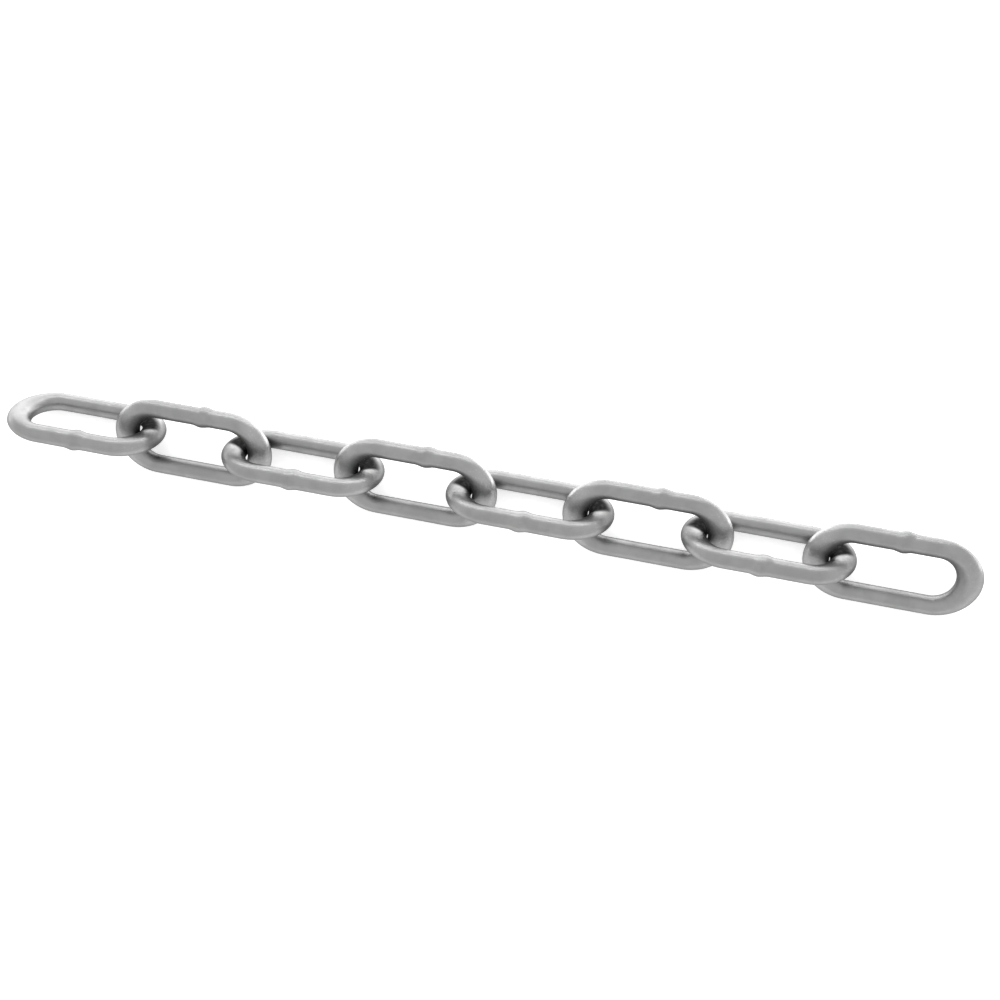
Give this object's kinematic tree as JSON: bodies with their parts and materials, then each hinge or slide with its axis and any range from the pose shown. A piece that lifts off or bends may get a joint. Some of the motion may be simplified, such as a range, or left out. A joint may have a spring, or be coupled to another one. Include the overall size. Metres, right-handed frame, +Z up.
{
  "type": "length of steel chain",
  "caption": "Straight length of welded steel link chain: oblong links of round bar, hooked into each other at right angles and free to swing, each with a weld swelling at mid-leg.",
  "frame": {"origin": "on the floor under the middle of the straight chain", "axes": "+X along the chain from link_1 to link_8, +Z up from the floor it lies on"},
  "size_m": [0.4236, 0.0292, 0.0284],
  "materials": {
    "zinc_coated_steel": "dull galvanised"
  },
  "bodies": {
    "link_1": {"link_1": "zinc_coated_steel"},
    "link_2": {"link_2": "zinc_coated_steel"},
    "link_3": {"link_3": "zinc_coated_steel"},
    "link_4": {"link_4": "zinc_coated_steel"},
    "link_5": {"link_5": "zinc_coated_steel"},
    "link_6": {"link_6": "zinc_coated_steel"},
    "link_7": {"link_7": "zinc_coated_steel"},
    "link_8": {"link_8": "zinc_coated_steel"}
  },
  "joints": [
    {"name": "swing_1_2", "type": "hinge", "parent": "link_1", "child": "link_2", "pos_m": [-0.14505, 0, 0.01383], "axis": [0, -0.7071, 0.7071], "range_deg": [-120, 120]},
    {"name": "swing_2_3", "type": "hinge", "parent": "link_2", "child": "link_3", "pos_m": [-0.09485, 0, 0.01383], "axis": [0, 0.7071, 0.7071], "range_deg": [-120, 120]},
    {"name": "swing_3_4", "type": "hinge", "parent": "link_3", "child": "link_4", "pos_m": [-0.04465, 0, 0.01383], "axis": [0, 0.7071, -0.7071], "range_deg": [-120, 120]},
    {"name": "swing_4_5", "type": "hinge", "parent": "link_4", "child": "link_5", "pos_m": [0.00555, 0, 0.01383], "axis": [0, -0.7071, -0.7071], "range_deg": [-120, 120]},
    {"name": "swing_5_6", "type": "hinge", "parent": "link_5", "child": "link_6", "pos_m": [0.05575, 0, 0.01383], "axis": [0, -0.7071, 0.7071], "range_deg": [-120, 120]},
    {"name": "swing_6_7", "type": "hinge", "parent": "link_6", "child": "link_7", "pos_m": [0.10595, 0, 0.01383], "axis": [0, 0.7071, 0.7071], "range_deg": [-120, 120]},
    {"name": "swing_7_8", "type": "hinge", "parent": "link_7", "child": "link_8", "pos_m": [0.15615, 0, 0.01383], "axis": [0, 0.7071, -0.7071], "range_deg": [-120, 120]}
  ]
}
